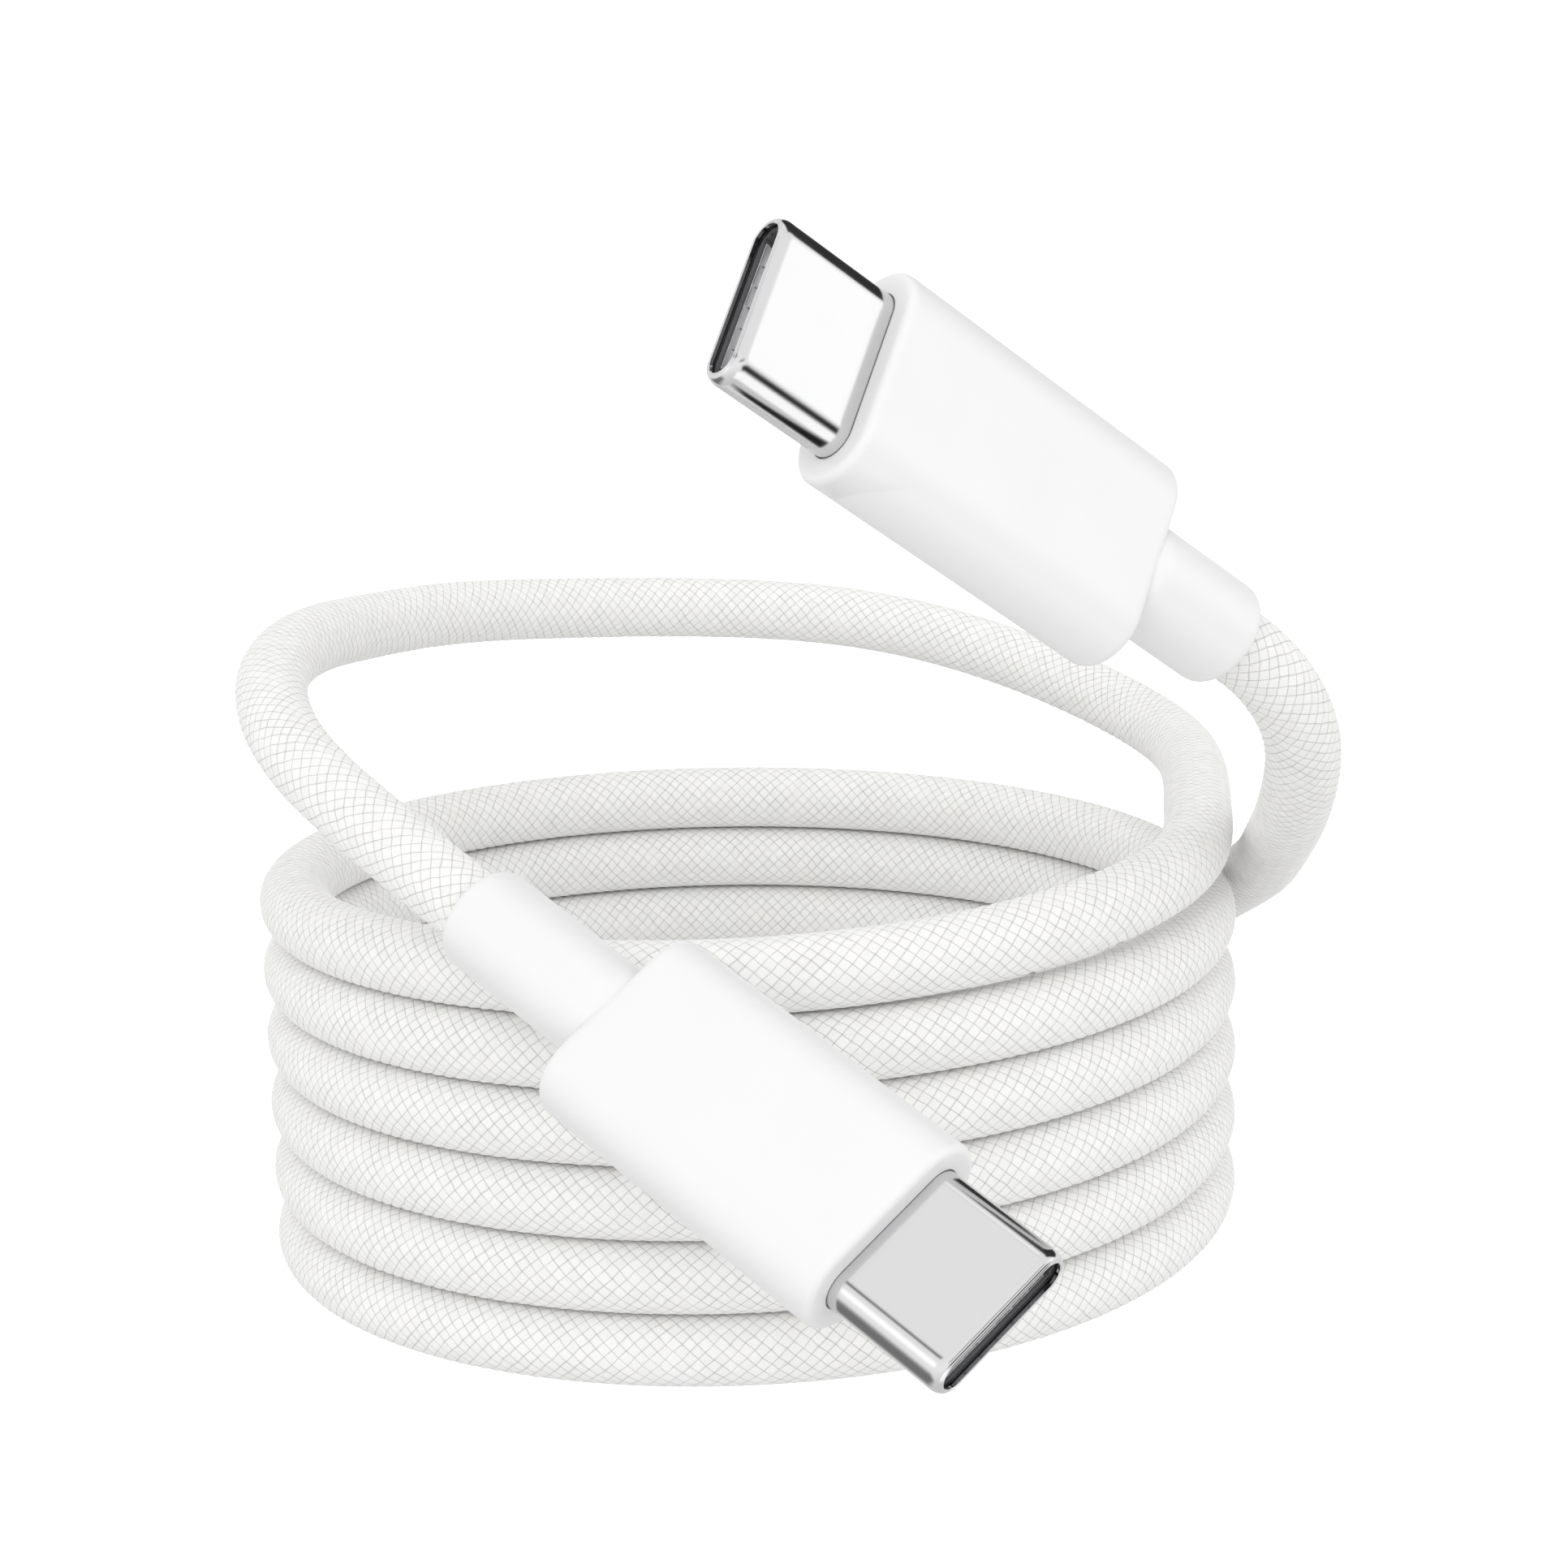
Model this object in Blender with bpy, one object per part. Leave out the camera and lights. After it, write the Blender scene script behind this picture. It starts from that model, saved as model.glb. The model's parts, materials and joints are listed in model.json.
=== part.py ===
import bpy
import bmesh
import math
from mathutils import Matrix, Vector

# Charging cable: a standing coil of round braided cord with a plug at each end.
# Lengths are in millimetres here and are turned into metres by MM.
MM = 0.001

# cord and coil
CORD_D = 3.8
CORD_R = CORD_D / 2.0
COIL_R = 25.33
COIL_PITCH = 3.83
COIL_ROWS = 6
RING_TOP = 22.9
RING_SEGMENTS = 48
GAP = 0.3

# plug shell, from the connector standard
SHELL_W = 8.25
SHELL_T = 2.4
SHELL_WALL = 0.2
SHELL_NOSE = 6.65
SHELL_TAIL = -3.5

# boot and collar
BOOT_W = 10.7
BOOT_T = 4.85
BOOT_L = 18.0
CAVITY_W = 9.0
CAVITY_T = 3.7
CAVITY_FRONT = -1.2
CAVITY_REAR = -15.0
REAR_BORE_D = 4.7
COLLAR_D = 5.3
COLLAR_BORE_D = 4.1
COLLAR_FRONT = -18.05

# insulator and contacts
CONTACT_PITCH = 0.5
CONTACT_W = 0.25
CONTACT_T = 0.12
CONTACT_PIVOT_X = -1.0
CONTACT_PIVOT_Z = 0.38
LATCH_PIVOT_X = -0.7
LATCH_PIVOT_Y = 3.19
GROOVE_W = 0.34
GROOVE_TOP = 0.62
THROAT_HALF = 0.45
THROAT_W = 7.2
MOUTH_HALF = 0.72
MOUTH_W = 6.7
MOUTH_START = 4.4
INSULATOR_FRONT = 6.2
SPRING_HALF = 3.1
INSULATOR_REAR = -0.9

# paddle card and cans
CARD_T = 0.6
CARD_W = 6.6
CARD_FRONT = -1.1
CARD_REAR = -9.5
CAN_W = 8.6
CAN_T = 3.3
CAN_WALL = 0.2
CAN_FRONT = -4.0
CAN_REAR = -14.5
FERRULE_D = 4.5
FERRULE_BORE_D = 4.0
CORD_END = -14.9

# where the plugs are: front centre of the boot, axis to the nose, normal of the flat face, collar length
CENTRE_X = 2.01
CENTRE_Y = -8.23
PLUG_A = ((6.40, -43.44, 15.71), (0.683, -0.620, -0.386), (-0.178, -0.654, 0.735), 9.8)
PLUG_B = ((5.62, -36.62, 52.95), (-0.705, -0.443, 0.553), (0.625, -0.757, 0.191), 6.8)

# hand-chosen points the leads pass through, before the straight run into each collar
LEAD_A_ROUTE = [
    (25.8, 1.2, 25.1), (26.3, 11.5, 25.5), (24.9, 20.5, 26.1), (18.2, 28.3, 28.5),
    (9.0, 31.2, 31.0), (-1.0, 30.8, 32.3), (-10.5, 26.0, 33.3), (-17.8, 18.0, 34.4),
    (-22.2, 9.0, 35.1), (-24.4, 0.0, 35.6), (-24.9, -8.5, 34.8), (-22.6, -15.8, 32.5),
    (-18.2, -21.0, 29.7),
]
LEAD_B_ROUTE = [
    (-11.0, 27.3, 1.9), (-2.0, 29.5, 2.7), (8.0, 28.5, 5.0), (16.5, 24.6, 8.6),
    (23.4, 18.2, 12.8), (28.0, 9.6, 18.0), (29.3, 2.5, 21.2), (29.2, -4.0, 24.0),
    (28.8, -10.7, 26.8), (28.4, -16.6, 29.9), (27.7, -21.0, 33.6),
]
LEAD_STEP = 4.5

# upper and lower contacts: name and place counted from one side
TOP_CONTACTS = [("gnd1", 1), ("vbus1", 4), ("cc", 5), ("dp", 6), ("dn", 7), ("vbus2", 9), ("gnd2", 12)]
BOTTOM_CONTACTS = [("gnd1", 1), ("vbus1", 4), ("vconn", 5), ("vbus2", 9), ("gnd2", 12)]


def clear_scene():
    for item in list(bpy.data.objects):
        bpy.data.objects.remove(item, do_unlink=True)


def make_material(name, colour, metallic, roughness):
    material = bpy.data.materials.new(name)
    material.use_nodes = True
    shader = material.node_tree.nodes["Principled BSDF"]
    shader.inputs["Base Color"].default_value = (*colour, 1.0)
    shader.inputs["Metallic"].default_value = metallic
    shader.inputs["Roughness"].default_value = roughness
    return material


FINISHES = {
    "braid": ((0.86, 0.86, 0.85), 0.0, 0.8),
    "white_plastic": ((0.88, 0.88, 0.88), 0.0, 0.35),
    "steel": ((0.72, 0.72, 0.73), 1.0, 0.18),
    "spring_steel": ((0.62, 0.62, 0.62), 1.0, 0.3),
    "black_plastic": ((0.03, 0.03, 0.033), 0.0, 0.45),
    "gold": ((0.85, 0.62, 0.25), 1.0, 0.25),
    "board": ((0.02, 0.16, 0.07), 0.0, 0.4),
    "chip": ((0.02, 0.02, 0.02), 0.0, 0.5),
    "tinned": ((0.66, 0.65, 0.62), 1.0, 0.4),
    "red_core": ((0.6, 0.03, 0.03), 0.0, 0.45),
    "black_core": ((0.02, 0.02, 0.02), 0.0, 0.45),
    "white_core": ((0.8, 0.8, 0.78), 0.0, 0.45),
}


def add_object(name, data, finish, parent=None):
    colour, metallic, roughness = FINISHES[finish]
    node = bpy.data.objects.new(name, data)
    bpy.context.scene.collection.objects.link(node)
    data.materials.append(make_material(name, colour, metallic, roughness))
    if parent is not None:
        node.parent = parent
    return node


def finish_mesh(name, bm, finish, parent, smooth):
    bmesh.ops.recalc_face_normals(bm, faces=bm.faces[:])
    mesh = bpy.data.meshes.new(name)
    bm.to_mesh(mesh)
    bm.free()
    mesh.polygons.foreach_set("use_smooth", [smooth] * len(mesh.polygons))
    return add_object(name, mesh, finish, parent)


def loop_verts(bm, points):
    return [bm.verts.new(Vector(p) * MM) for p in points]


def bridge(bm, first, second):
    count = len(first)
    for i in range(count):
        j = (i + 1) % count
        bm.faces.new((first[i], first[j], second[j], second[i]))


def prism(name, outline, x0, x1, finish, parent):
    """A closed outline in Y and Z, drawn out along X."""
    bm = bmesh.new()
    rear = loop_verts(bm, [(x0, y, z) for y, z in outline])
    front = loop_verts(bm, [(x1, y, z) for y, z in outline])
    bridge(bm, rear, front)
    bm.faces.new(rear)
    bm.faces.new(front)
    return finish_mesh(name, bm, finish, parent, False)


def side_strip(name, outline, y0, y1, finish, parent):
    """A closed outline in X and Z, drawn out along Y."""
    bm = bmesh.new()
    left = loop_verts(bm, [(x, y0, z) for x, z in outline])
    right = loop_verts(bm, [(x, y1, z) for x, z in outline])
    bridge(bm, left, right)
    bm.faces.new(left)
    bm.faces.new(right)
    return finish_mesh(name, bm, finish, parent, False)


def flat_strip(name, outline, z0, z1, finish, parent):
    """A closed outline in X and Y, drawn out along Z."""
    bm = bmesh.new()
    low = loop_verts(bm, [(x, y, z0) for x, y in outline])
    high = loop_verts(bm, [(x, y, z1) for x, y in outline])
    bridge(bm, low, high)
    bm.faces.new(low)
    bm.faces.new(high)
    return finish_mesh(name, bm, finish, parent, False)


def hollow(name, rings, finish, parent):
    """A ring-shaped skin: each ring joins the next and the last joins the first."""
    bm = bmesh.new()
    loops = [loop_verts(bm, ring) for ring in rings]
    for i, loop in enumerate(loops):
        bridge(bm, loop, loops[(i + 1) % len(loops)])
    return finish_mesh(name, bm, finish, parent, True)


def stadium(width, thick, per_end=10):
    """Outline of a slot shape, as Y and Z pairs."""
    radius = thick / 2.0
    flat = width / 2.0 - radius
    points = []
    for side in (1.0, -1.0):
        for k in range(per_end + 1):
            angle = -math.pi / 2.0 + math.pi * k / per_end
            y = side * (flat + radius * math.cos(angle))
            z = side * radius * math.sin(angle)
            points.append((y, z))
    return points


def slot_ring(x, width, thick, per_end=10):
    return [(x, y, z) for y, z in stadium(width, thick, per_end)]


def round_ring(x, diameter, count=22):
    ring = []
    for k in range(count):
        angle = -math.pi / 2.0 + 2.0 * math.pi * (k + 0.5) / count
        ring.append((x, diameter / 2.0 * math.cos(angle), diameter / 2.0 * math.sin(angle)))
    return ring


def make_shell(suffix, parent):
    inner_w = SHELL_W - 2.0 * SHELL_WALL
    inner_t = SHELL_T - 2.0 * SHELL_WALL
    rings = [
        slot_ring(SHELL_TAIL, SHELL_W, SHELL_T),
        slot_ring(SHELL_NOSE - 0.30, SHELL_W, SHELL_T),
        slot_ring(SHELL_NOSE - 0.10, SHELL_W - 0.12, SHELL_T - 0.12),
        slot_ring(SHELL_NOSE, SHELL_W - 0.34, SHELL_T - 0.34),
        slot_ring(SHELL_NOSE - 0.12, inner_w, inner_t),
        slot_ring(SHELL_TAIL, inner_w, inner_t),
    ]
    return hollow("shell" + suffix, rings, "steel", parent)


def make_boot(suffix, parent):
    rear = -BOOT_L
    rings = [
        slot_ring(rear, BOOT_W - 1.6, BOOT_T - 1.6, 8),
        slot_ring(rear + 0.25, BOOT_W - 0.6, BOOT_T - 0.6, 8),
        slot_ring(rear + 0.9, BOOT_W, BOOT_T, 8),
        slot_ring(-0.35, BOOT_W, BOOT_T, 8),
        slot_ring(-0.10, BOOT_W - 0.2, BOOT_T - 0.2, 8),
        slot_ring(0.0, BOOT_W - 0.6, BOOT_T - 0.6, 8),
        slot_ring(0.0, SHELL_W + 0.1, SHELL_T + 0.1, 8),
        slot_ring(CAVITY_FRONT, SHELL_W + 0.1, SHELL_T + 0.1, 8),
        slot_ring(CAVITY_FRONT, CAVITY_W, CAVITY_T, 8),
        slot_ring(CAVITY_REAR, CAVITY_W, CAVITY_T, 8),
        slot_ring(CAVITY_REAR, REAR_BORE_D + 0.01, REAR_BORE_D, 8),
        slot_ring(rear, REAR_BORE_D + 0.01, REAR_BORE_D, 8),
    ]
    return hollow("boot" + suffix, rings, "white_plastic", parent)


def make_collar(suffix, length, parent):
    rear = COLLAR_FRONT - length
    rings = [
        round_ring(rear, COLLAR_BORE_D + 0.3),
        round_ring(rear + 0.12, COLLAR_D - 0.5),
        round_ring(rear + 0.5, COLLAR_D - 0.1),
        round_ring(rear + 0.9, COLLAR_D),
        round_ring(COLLAR_FRONT, COLLAR_D),
        round_ring(COLLAR_FRONT, COLLAR_BORE_D),
        round_ring(rear + 0.3, COLLAR_BORE_D),
    ]
    return hollow("collar" + suffix, rings, "white_plastic", parent)


def set_pivot(node, pivot):
    """Move a node's origin to a point on its joint's axis, leaving the piece where it is."""
    node.data.transform(Matrix.Translation(Vector(pivot) * -MM))
    node.location = Vector(pivot) * MM


def contact_y(place):
    return (place - 6.5) * CONTACT_PITCH


def grooved_throat():
    """Outline of the tongue's way in: a slot with a groove for each contact."""
    half_w = THROAT_W / 2.0
    top = [(-half_w, THROAT_HALF)]
    for name, place in TOP_CONTACTS:
        y = contact_y(place)
        top.append((y - GROOVE_W / 2.0, THROAT_HALF))
        top.append((y - GROOVE_W / 2.0, GROOVE_TOP))
        top.append((y + GROOVE_W / 2.0, GROOVE_TOP))
        top.append((y + GROOVE_W / 2.0, THROAT_HALF))
    top.append((half_w, THROAT_HALF))
    low = [(half_w, -THROAT_HALF)]
    for name, place in reversed(BOTTOM_CONTACTS):
        y = contact_y(place)
        low.append((y + GROOVE_W / 2.0, -THROAT_HALF))
        low.append((y + GROOVE_W / 2.0, -GROOVE_TOP))
        low.append((y - GROOVE_W / 2.0, -GROOVE_TOP))
        low.append((y - GROOVE_W / 2.0, -THROAT_HALF))
    low.append((-half_w, -THROAT_HALF))
    return top + low


def cut(target, cutter):
    cutter.hide_render = True
    cutter.display_type = "WIRE"
    modifier = target.modifiers.new("cut", "BOOLEAN")
    modifier.operation = "DIFFERENCE"
    modifier.solver = "EXACT"
    modifier.object = cutter
    bpy.context.view_layer.update()
    graph = bpy.context.evaluated_depsgraph_get()
    mesh = bpy.data.meshes.new_from_object(target.evaluated_get(graph))
    target.modifiers.remove(modifier)
    target.data = mesh
    bpy.data.objects.remove(cutter, do_unlink=True)


def make_insulator(suffix, parent):
    width = SHELL_W - 2.0 * SHELL_WALL - 0.1
    thick = SHELL_T - 2.0 * SHELL_WALL - 0.1
    outline = stadium(width, thick, 6)
    body = prism("insulator" + suffix, outline, INSULATOR_REAR, INSULATOR_FRONT, "black_plastic", None)
    throat = prism("throat_cut", grooved_throat(), -2.0, 7.0, "black_plastic", None)
    cut(body, throat)
    half_w = MOUTH_W / 2.0
    box = [(-half_w, -MOUTH_HALF), (half_w, -MOUTH_HALF), (half_w, MOUTH_HALF), (-half_w, MOUTH_HALF)]
    mouth = prism("mouth_cut", box, MOUTH_START, 7.0, "black_plastic", None)
    cut(body, mouth)
    body.parent = parent
    return body


def contact_outline(side):
    """Contact bent from strip: flat tail, straight beam, and a bump near the tip."""
    line = [(-2.2, 0.35), (-1.1, 0.35), (-0.7, 0.30), (2.9, 0.30), (3.5, 0.20), (3.9, 0.20), (4.2, 0.30)]
    low = [(x, side * z) for x, z in line]
    high = [(x, side * (z + CONTACT_T)) for x, z in reversed(line)]
    return low + high


def make_contacts(suffix, parent):
    for row, side, contacts in (("top", 1.0, TOP_CONTACTS), ("bottom", -1.0, BOTTOM_CONTACTS)):
        for name, place in contacts:
            y = contact_y(place)
            label = "contact_" + row + "_" + name + suffix
            left = y - CONTACT_W / 2.0
            right = y + CONTACT_W / 2.0
            node = side_strip(label, contact_outline(side), left, right, "gold", parent)
            set_pivot(node, (CONTACT_PIVOT_X, 0.0, side * CONTACT_PIVOT_Z))


def make_latches(suffix, parent):
    """Arms along the throat's sides with a hooked nose that points inwards."""
    for name, side in (("left", 1.0), ("right", -1.0)):
        outline = [(-0.7, 3.10), (3.9, 3.10), (4.05, 2.98), (4.35, 2.98), (4.75, 3.12),
                   (4.75, 3.30), (4.3, 3.22), (4.1, 3.26), (-0.7, 3.28)]
        points = [(x, side * y) for x, y in outline]
        node = flat_strip("latch_" + name + suffix, points, -0.25, 0.25, "spring_steel", parent)
        set_pivot(node, (LATCH_PIVOT_X, side * LATCH_PIVOT_Y, 0.0))


def make_emi_springs(suffix, parent):
    """Plates behind the mouth, with a raised ridge that presses on the socket."""
    for name, side in (("top", 1.0), ("bottom", -1.0)):
        line = [(4.6, 0.56), (5.0, 0.56), (5.3, 0.50), (5.6, 0.50), (5.85, 0.56), (6.1, 0.56)]
        low = [(x, side * z) for x, z in line]
        high = [(x, side * (z + 0.1)) for x, z in reversed(line)]
        side_strip("emi_spring_" + name + suffix, low + high, -SPRING_HALF, SPRING_HALF, "spring_steel", parent)


def rectangle(y0, y1, z0, z1):
    return [(y0, z0), (y1, z0), (y1, z1), (y0, z1)]


def make_board(suffix, parent):
    half = CARD_W / 2.0
    card = rectangle(-half, half, -CARD_T / 2.0, CARD_T / 2.0)
    prism("paddle_card" + suffix, card, CARD_REAR, CARD_FRONT, "board", parent)
    chip = rectangle(-1.0, 1.0, -0.85, -0.35)
    prism("emarker_chip" + suffix, chip, -7.0, -5.0, "chip", parent)


def can_outline(side):
    """Half of a flat tube, as a trough open towards the card."""
    outer = [(y, z) for y, z in stadium(CAN_W, CAN_T, 8) if z > 0.05]
    inner = [(y, z) for y, z in stadium(CAN_W - 2.0 * CAN_WALL, CAN_T - 2.0 * CAN_WALL, 8) if z > 0.05]
    outer.sort(key=lambda p: math.atan2(p[1], p[0]))
    inner.sort(key=lambda p: math.atan2(p[1], p[0]), reverse=True)
    half_out = CAN_W / 2.0
    half_in = half_out - CAN_WALL
    points = [(half_out, 0.05)] + outer + [(-half_out, 0.05), (-half_in, 0.05)] + inner + [(half_in, 0.05)]
    return [(y, side * z) for y, z in points]


def make_cans(suffix, parent):
    for name, side in (("top", 1.0), ("bottom", -1.0)):
        prism("shield_can_" + name + suffix, can_outline(side), CAN_REAR, CAN_FRONT, "tinned", parent)


def make_ferrule(suffix, parent):
    rings = [
        round_ring(-17.8, FERRULE_D, 20),
        round_ring(-15.2, FERRULE_D, 20),
        round_ring(-15.2, FERRULE_BORE_D, 20),
        round_ring(-17.8, FERRULE_BORE_D, 20),
    ]
    return hollow("crimp_ferrule" + suffix, rings, "tinned", parent)


def tube(name, points, diameter, finish, parent, resolution):
    """A round cord along a line of points, with closed ends."""
    curve = bpy.data.curves.new(name, "CURVE")
    curve.dimensions = "3D"
    curve.bevel_depth = diameter / 2.0 * MM
    curve.bevel_resolution = resolution
    curve.use_fill_caps = True
    spline = curve.splines.new("POLY")
    spline.points.add(len(points) - 1)
    for slot, point in zip(spline.points, points):
        slot.co = (point[0] * MM, point[1] * MM, point[2] * MM, 1.0)
    spline.use_smooth = True
    return add_object(name, curve, finish, parent)


def make_wires(suffix, parent):
    for name, finish, start, end in (("vbus", "red_core", 0.85, 1.7), ("gnd", "black_core", -0.85, -1.7),
                                     ("cc", "white_core", 0.0, 0.0)):
        size = 0.5 if name == "cc" else 0.8
        rest = CARD_T / 2.0 + 0.05 + size / 2.0
        points = [(-14.7, start, 0.0), (-13.4, start, 0.05), (-11.6, end, rest), (-10.4, end, rest + 0.04),
                  (-8.2, end, rest + 0.04)]
        tube("wire_" + name + suffix, points, size, finish, parent, 1)


def plug_matrix(place):
    origin, axis, normal = place[:3]
    nose = Vector(axis).normalized()
    up = Vector(normal)
    up = (up - nose * up.dot(nose)).normalized()
    side = up.cross(nose)
    rotation = Matrix((nose, side, up)).transposed().to_4x4()
    return Matrix.Translation(world(origin) * MM) @ rotation


def world(point):
    return Vector((point[0] - CENTRE_X, point[1] - CENTRE_Y, point[2]))


def make_plug(suffix, place):
    frame = bpy.data.objects.new("plug" + suffix, None)
    bpy.context.scene.collection.objects.link(frame)
    frame.matrix_world = plug_matrix(place)
    make_shell(suffix, frame)
    make_insulator(suffix, frame)
    make_latches(suffix, frame)
    make_emi_springs(suffix, frame)
    make_contacts(suffix, frame)
    make_board(suffix, frame)
    make_cans(suffix, frame)
    make_ferrule(suffix, frame)
    make_wires(suffix, frame)
    make_boot(suffix, frame)
    make_collar(suffix, place[3], frame)


def ring_profile():
    """Half section of the stacked turns: a rounded bulge for each row, inside and outside."""
    rows = COIL_ROWS
    height = RING_TOP / rows
    outer = []
    for row in range(rows):
        low = row * height
        outer.append((COIL_R + CORD_R - 0.75, low + 0.02))
        outer.append((COIL_R + CORD_R, low + 0.3 * height))
        outer.append((COIL_R + CORD_R, low + 0.7 * height))
    outer[0] = (COIL_R + CORD_R - 0.75, 0.0)
    outer.append((COIL_R + CORD_R - 0.75, RING_TOP))
    inner = [(2.0 * COIL_R - radius, z) for radius, z in reversed(outer)]
    return outer + inner


def make_coil():
    profile = ring_profile()
    bm = bmesh.new()
    loops = []
    for k in range(RING_SEGMENTS):
        angle = 2.0 * math.pi * k / RING_SEGMENTS
        points = []
        for radius, z in profile:
            points.append(world((radius * math.cos(angle), radius * math.sin(angle), z)))
        loops.append(loop_verts(bm, points))
    for i, loop in enumerate(loops):
        bridge(bm, loop, loops[(i + 1) % len(loops)])
    return finish_mesh("cable_coil", bm, "braid", None, True)


def smooth_line(points, step):
    """Even points along a smooth curve through the given ones."""
    fine = []
    padded = [points[0] * 2.0 - points[1]] + points + [points[-1] * 2.0 - points[-2]]
    for i in range(1, len(padded) - 2):
        before, first, second, after = padded[i - 1:i + 3]
        for k in range(40):
            t = k / 40.0
            fine.append(0.5 * ((2.0 * first) + (second - before) * t
                               + (2.0 * before - 5.0 * first + 4.0 * second - after) * t * t
                               + (3.0 * first - before - 3.0 * second + after) * t * t * t))
    fine.append(points[-1])
    total = sum((b - a).length for a, b in zip(fine, fine[1:]))
    count = max(2, round(total / step))
    spacing = total / count
    even = [fine[0]]
    walked = 0.0
    for a, b in zip(fine, fine[1:]):
        length = (b - a).length
        while walked + length >= spacing * len(even) and len(even) < count:
            even.append(a.lerp(b, (spacing * len(even) - walked) / length))
        walked += length
    even.append(fine[-1])
    return even


def make_lead(name, route, place):
    """From the coil along the route, then straight in through the collar to the crimp."""
    origin, axis, normal, collar_length = place
    nose = Vector(axis).normalized()
    start = Vector(origin)
    rear = COLLAR_FRONT - collar_length
    points = [Vector(p) for p in route]
    points.append(start + nose * (rear - 2.5))
    points.append(start + nose * (rear + 1.5))
    line = smooth_line(points, LEAD_STEP)
    line.append(start + nose * CORD_END)
    tube(name, [world(p) for p in line], CORD_D, "braid", None, 2)


def build():
    clear_scene()
    make_coil()
    make_lead("cable_lead_a", LEAD_A_ROUTE, PLUG_A)
    make_lead("cable_lead_b", LEAD_B_ROUTE, PLUG_B)
    make_plug("_a", PLUG_A)
    make_plug("_b", PLUG_B)


build()
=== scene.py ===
import json
import math
import bmesh
import bpy
import numpy as np
from mathutils import Matrix, Vector


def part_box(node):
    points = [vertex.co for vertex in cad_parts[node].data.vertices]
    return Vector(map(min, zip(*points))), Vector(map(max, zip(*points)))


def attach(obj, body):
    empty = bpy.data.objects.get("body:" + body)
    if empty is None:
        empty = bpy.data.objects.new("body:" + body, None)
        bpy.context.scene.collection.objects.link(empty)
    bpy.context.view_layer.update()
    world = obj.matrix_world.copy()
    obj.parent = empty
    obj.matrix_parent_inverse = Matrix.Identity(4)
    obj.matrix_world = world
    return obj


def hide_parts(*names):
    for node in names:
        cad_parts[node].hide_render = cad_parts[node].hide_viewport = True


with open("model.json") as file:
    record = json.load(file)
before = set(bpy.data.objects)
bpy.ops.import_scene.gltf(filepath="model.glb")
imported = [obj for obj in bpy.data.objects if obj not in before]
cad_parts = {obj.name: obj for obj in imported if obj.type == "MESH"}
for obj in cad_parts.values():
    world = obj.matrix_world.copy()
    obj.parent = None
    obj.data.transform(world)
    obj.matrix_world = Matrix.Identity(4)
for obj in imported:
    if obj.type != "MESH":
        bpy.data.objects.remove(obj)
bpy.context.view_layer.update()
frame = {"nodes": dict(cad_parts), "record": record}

mm = 0.001  # sizes below are in millimetres unless they say otherwise


# ---- small helpers ----

def hexLinear(code):
    # sRGB hex to the linear numbers that shaders and lights take
    channels = [int(code[i:i + 2], 16) / 255.0 for i in (1, 3, 5)]
    return tuple(c / 12.92 if c <= 0.04045 else ((c + 0.055) / 1.055) ** 2.4 for c in channels)


def addNode(tree, kind, inputs=None, **settings):
    # adds a node, sets its properties, then fills its sockets with values or links
    node = tree.nodes.new(kind)
    for name, value in settings.items():
        setattr(node, name, value)
    for key, value in (inputs or {}).items():
        socket = node.inputs[key]
        if isinstance(value, bpy.types.NodeSocket):
            tree.links.new(value, socket)
        else:
            socket.default_value = value
    return node


def newMaterial(name, colour, metallic, roughness, ior=None):
    material = bpy.data.materials.new(name)
    material.use_nodes = True
    shader = material.node_tree.nodes["Principled BSDF"]
    shader.inputs["Base Color"].default_value = (*hexLinear(colour), 1.0)
    shader.inputs["Metallic"].default_value = metallic
    shader.inputs["Roughness"].default_value = roughness
    if ior:
        shader.inputs["IOR"].default_value = ior
    return material, material.node_tree, shader


def meshObject(name, vertices, faces, material):
    mesh = bpy.data.meshes.new(name)
    mesh.from_pydata([tuple(v) for v in vertices], [], faces)
    mesh.materials.append(material)
    thing = bpy.data.objects.new(name, mesh)
    bpy.context.scene.collection.objects.link(thing)
    return thing


def nodeMaterial(nodeName, material):
    # gives a CAD node a finish through its own slot
    thing = frame["nodes"][nodeName]
    if not thing.material_slots:
        thing.data.materials.append(material)
    for slot in thing.material_slots:
        slot.material = material


def finishPiece(thing, body, slotName, *nodes):
    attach(thing, body)
    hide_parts(*nodes)
    return thing


# ---- where the plugs are ----

plug = {
    "shellWidth": 8.25, "shellThick": 2.40, "shellWall": 0.20, "shellNose": 6.65, "shellTail": -3.5,
    "bootWidth": 10.7, "bootThick": 4.85, "bootLength": 18.0,
    "collarDiameter": 5.3, "collarFront": -18.05, "collarLength": {"a": 9.8, "b": 6.8}, "collarBore": 4.1,
    "bootRearEdge": 0.6, "bootFrontEdge": 0.4, "noseRound": 0.62, "noseInset": 0.3,
    "stopHeight": 1.7,  # the stop mount's height on the front face
    "cordEnd": -14.9,
    "shellGap": 0.08, "throat": -1.2, "cavityWidth": 9.0, "cavityThick": 3.7, "cavityRear": -15.0,
    "rearHole": 4.7,
}


def plugFrame(end):
    # nose axis, width and flat-face normal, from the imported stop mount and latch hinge
    record = frame["record"]
    stop = next(m for m in record["mounts"] if m["name"] == "plug_" + end + "_stop")
    latch = next(j for j in record["behaviour"]["joints"] if j["name"] == "latch_left_flex_" + end)
    nose = Vector(stop["axis"]).normalized()
    up = Vector(latch["axis"]).normalized()
    side = up.cross(nose)
    origin = Vector(stop["pos_m"]) - up * plug["stopHeight"] * mm
    turn = Matrix((nose, side, up)).transposed().to_4x4()
    return Matrix.Translation(origin) @ turn @ Matrix.Scale(mm, 4)


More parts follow.
